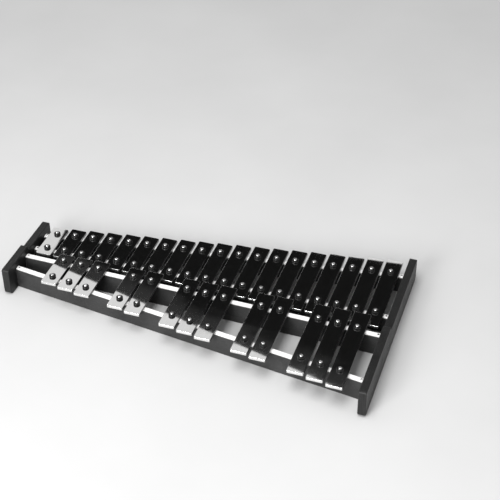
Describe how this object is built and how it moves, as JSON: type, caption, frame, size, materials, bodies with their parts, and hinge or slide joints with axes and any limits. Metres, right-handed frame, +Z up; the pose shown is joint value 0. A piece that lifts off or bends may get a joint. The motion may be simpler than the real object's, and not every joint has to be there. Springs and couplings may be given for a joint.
{
  "type": "glockenspiel",
  "caption": "Kit glockenspiel: tuned metal bars in a row of naturals and a raised row of sharps, held by screws on felt-topped rails between two stepped end boards.",
  "frame": {"origin": "middle of the footprint, on the surface the frame stands on", "axes": "+X towards the high notes, +Y towards the row of sharps, +Z up"},
  "size_m": [0.5876, 0.313, 0.046],
  "materials": {
    "bar_metal": "polished nickel plate on steel, with fine polishing lines",
    "board_paint": "black textured lacquer",
    "rail_paint": "satin dark grey paint over straight grain",
    "felt": "white pressed wool felt",
    "grommet_rubber": "satin black rubber",
    "screw_chrome": "bright plated",
    "frame_screw_steel": "black oxide",
    "tack_steel": "bright steel"
  },
  "bodies": {
    "frame": {"end_board_high": "board_paint", "end_board_low": "board_paint", "felt_natural_inner": "felt", "felt_natural_outer": "felt", "felt_sharp_inner": "felt", "felt_sharp_outer": "felt", "felt_tacks": "tack_steel", "frame_screws_high": "frame_screw_steel", "frame_screws_low": "frame_screw_steel", "grommets_natural_inner": "grommet_rubber", "grommets_natural_outer": "grommet_rubber", "grommets_sharp_inner": "grommet_rubber", "grommets_sharp_outer": "grommet_rubber", "rail_natural_inner": "rail_paint", "rail_natural_outer": "rail_paint", "rail_sharp_inner": "rail_paint", "rail_sharp_outer": "rail_paint", "screws_natural_inner": "screw_chrome", "screws_natural_outer": "screw_chrome", "screws_sharp_inner": "screw_chrome", "screws_sharp_outer": "screw_chrome"},
    "bar_a5": {"bar_a5": "bar_metal"},
    "bar_a6": {"bar_a6": "bar_metal"},
    "bar_a7": {"bar_a7": "bar_metal"},
    "bar_a_sharp_5": {"bar_a_sharp_5": "bar_metal"},
    "bar_a_sharp_6": {"bar_a_sharp_6": "bar_metal"},
    "bar_a_sharp_7": {"bar_a_sharp_7": "bar_metal"},
    "bar_b5": {"bar_b5": "bar_metal"},
    "bar_b6": {"bar_b6": "bar_metal"},
    "bar_b7": {"bar_b7": "bar_metal"},
    "bar_c6": {"bar_c6": "bar_metal"},
    "bar_c7": {"bar_c7": "bar_metal"},
    "bar_c8": {"bar_c8": "bar_metal"},
    "bar_c_sharp_6": {"bar_c_sharp_6": "bar_metal"},
    "bar_c_sharp_7": {"bar_c_sharp_7": "bar_metal"},
    "bar_d6": {"bar_d6": "bar_metal"},
    "bar_d7": {"bar_d7": "bar_metal"},
    "bar_d_sharp_6": {"bar_d_sharp_6": "bar_metal"},
    "bar_d_sharp_7": {"bar_d_sharp_7": "bar_metal"},
    "bar_e6": {"bar_e6": "bar_metal"},
    "bar_e7": {"bar_e7": "bar_metal"},
    "bar_f5": {"bar_f5": "bar_metal"},
    "bar_f6": {"bar_f6": "bar_metal"},
    "bar_f7": {"bar_f7": "bar_metal"},
    "bar_f_sharp_5": {"bar_f_sharp_5": "bar_metal"},
    "bar_f_sharp_6": {"bar_f_sharp_6": "bar_metal"},
    "bar_f_sharp_7": {"bar_f_sharp_7": "bar_metal"},
    "bar_g5": {"bar_g5": "bar_metal"},
    "bar_g6": {"bar_g6": "bar_metal"},
    "bar_g7": {"bar_g7": "bar_metal"},
    "bar_g_sharp_5": {"bar_g_sharp_5": "bar_metal"},
    "bar_g_sharp_6": {"bar_g_sharp_6": "bar_metal"},
    "bar_g_sharp_7": {"bar_g_sharp_7": "bar_metal"}
  },
  "joints": [
    {"name": "bar_a5_lift", "type": "slide", "parent": "frame", "child": "bar_a5", "axis": [0, 0, 1], "range_m": [0, 0.0006]},
    {"name": "bar_a6_lift", "type": "slide", "parent": "frame", "child": "bar_a6", "axis": [0, 0, 1], "range_m": [0, 0.0006]},
    {"name": "bar_a7_lift", "type": "slide", "parent": "frame", "child": "bar_a7", "axis": [0, 0, 1], "range_m": [0, 0.0006]},
    {"name": "bar_a_sharp_5_lift", "type": "slide", "parent": "frame", "child": "bar_a_sharp_5", "axis": [0, 0, 1], "range_m": [0, 0.0006]},
    {"name": "bar_a_sharp_6_lift", "type": "slide", "parent": "frame", "child": "bar_a_sharp_6", "axis": [0, 0, 1], "range_m": [0, 0.0006]},
    {"name": "bar_a_sharp_7_lift", "type": "slide", "parent": "frame", "child": "bar_a_sharp_7", "axis": [0, 0, 1], "range_m": [0, 0.0006]},
    {"name": "bar_b5_lift", "type": "slide", "parent": "frame", "child": "bar_b5", "axis": [0, 0, 1], "range_m": [0, 0.0006]},
    {"name": "bar_b6_lift", "type": "slide", "parent": "frame", "child": "bar_b6", "axis": [0, 0, 1], "range_m": [0, 0.0006]},
    {"name": "bar_b7_lift", "type": "slide", "parent": "frame", "child": "bar_b7", "axis": [0, 0, 1], "range_m": [0, 0.0006]},
    {"name": "bar_c6_lift", "type": "slide", "parent": "frame", "child": "bar_c6", "axis": [0, 0, 1], "range_m": [0, 0.0006]},
    {"name": "bar_c7_lift", "type": "slide", "parent": "frame", "child": "bar_c7", "axis": [0, 0, 1], "range_m": [0, 0.0006]},
    {"name": "bar_c8_lift", "type": "slide", "parent": "frame", "child": "bar_c8", "axis": [0, 0, 1], "range_m": [0, 0.0006]},
    {"name": "bar_c_sharp_6_lift", "type": "slide", "parent": "frame", "child": "bar_c_sharp_6", "axis": [0, 0, 1], "range_m": [0, 0.0006]},
    {"name": "bar_c_sharp_7_lift", "type": "slide", "parent": "frame", "child": "bar_c_sharp_7", "axis": [0, 0, 1], "range_m": [0, 0.0006]},
    {"name": "bar_d6_lift", "type": "slide", "parent": "frame", "child": "bar_d6", "axis": [0, 0, 1], "range_m": [0, 0.0006]},
    {"name": "bar_d7_lift", "type": "slide", "parent": "frame", "child": "bar_d7", "axis": [0, 0, 1], "range_m": [0, 0.0006]},
    {"name": "bar_d_sharp_6_lift", "type": "slide", "parent": "frame", "child": "bar_d_sharp_6", "axis": [0, 0, 1], "range_m": [0, 0.0006]},
    {"name": "bar_d_sharp_7_lift", "type": "slide", "parent": "frame", "child": "bar_d_sharp_7", "axis": [0, 0, 1], "range_m": [0, 0.0006]},
    {"name": "bar_e6_lift", "type": "slide", "parent": "frame", "child": "bar_e6", "axis": [0, 0, 1], "range_m": [0, 0.0006]},
    {"name": "bar_e7_lift", "type": "slide", "parent": "frame", "child": "bar_e7", "axis": [0, 0, 1], "range_m": [0, 0.0006]},
    {"name": "bar_f5_lift", "type": "slide", "parent": "frame", "child": "bar_f5", "axis": [0, 0, 1], "range_m": [0, 0.0006]},
    {"name": "bar_f6_lift", "type": "slide", "parent": "frame", "child": "bar_f6", "axis": [0, 0, 1], "range_m": [0, 0.0006]},
    {"name": "bar_f7_lift", "type": "slide", "parent": "frame", "child": "bar_f7", "axis": [0, 0, 1], "range_m": [0, 0.0006]},
    {"name": "bar_f_sharp_5_lift", "type": "slide", "parent": "frame", "child": "bar_f_sharp_5", "axis": [0, 0, 1], "range_m": [0, 0.0006]},
    {"name": "bar_f_sharp_6_lift", "type": "slide", "parent": "frame", "child": "bar_f_sharp_6", "axis": [0, 0, 1], "range_m": [0, 0.0006]},
    {"name": "bar_f_sharp_7_lift", "type": "slide", "parent": "frame", "child": "bar_f_sharp_7", "axis": [0, 0, 1], "range_m": [0, 0.0006]},
    {"name": "bar_g5_lift", "type": "slide", "parent": "frame", "child": "bar_g5", "axis": [0, 0, 1], "range_m": [0, 0.0006]},
    {"name": "bar_g6_lift", "type": "slide", "parent": "frame", "child": "bar_g6", "axis": [0, 0, 1], "range_m": [0, 0.0006]},
    {"name": "bar_g7_lift", "type": "slide", "parent": "frame", "child": "bar_g7", "axis": [0, 0, 1], "range_m": [0, 0.0006]},
    {"name": "bar_g_sharp_5_lift", "type": "slide", "parent": "frame", "child": "bar_g_sharp_5", "axis": [0, 0, 1], "range_m": [0, 0.0006]},
    {"name": "bar_g_sharp_6_lift", "type": "slide", "parent": "frame", "child": "bar_g_sharp_6", "axis": [0, 0, 1], "range_m": [0, 0.0006]},
    {"name": "bar_g_sharp_7_lift", "type": "slide", "parent": "frame", "child": "bar_g_sharp_7", "axis": [0, 0, 1], "range_m": [0, 0.0006]}
  ]
}
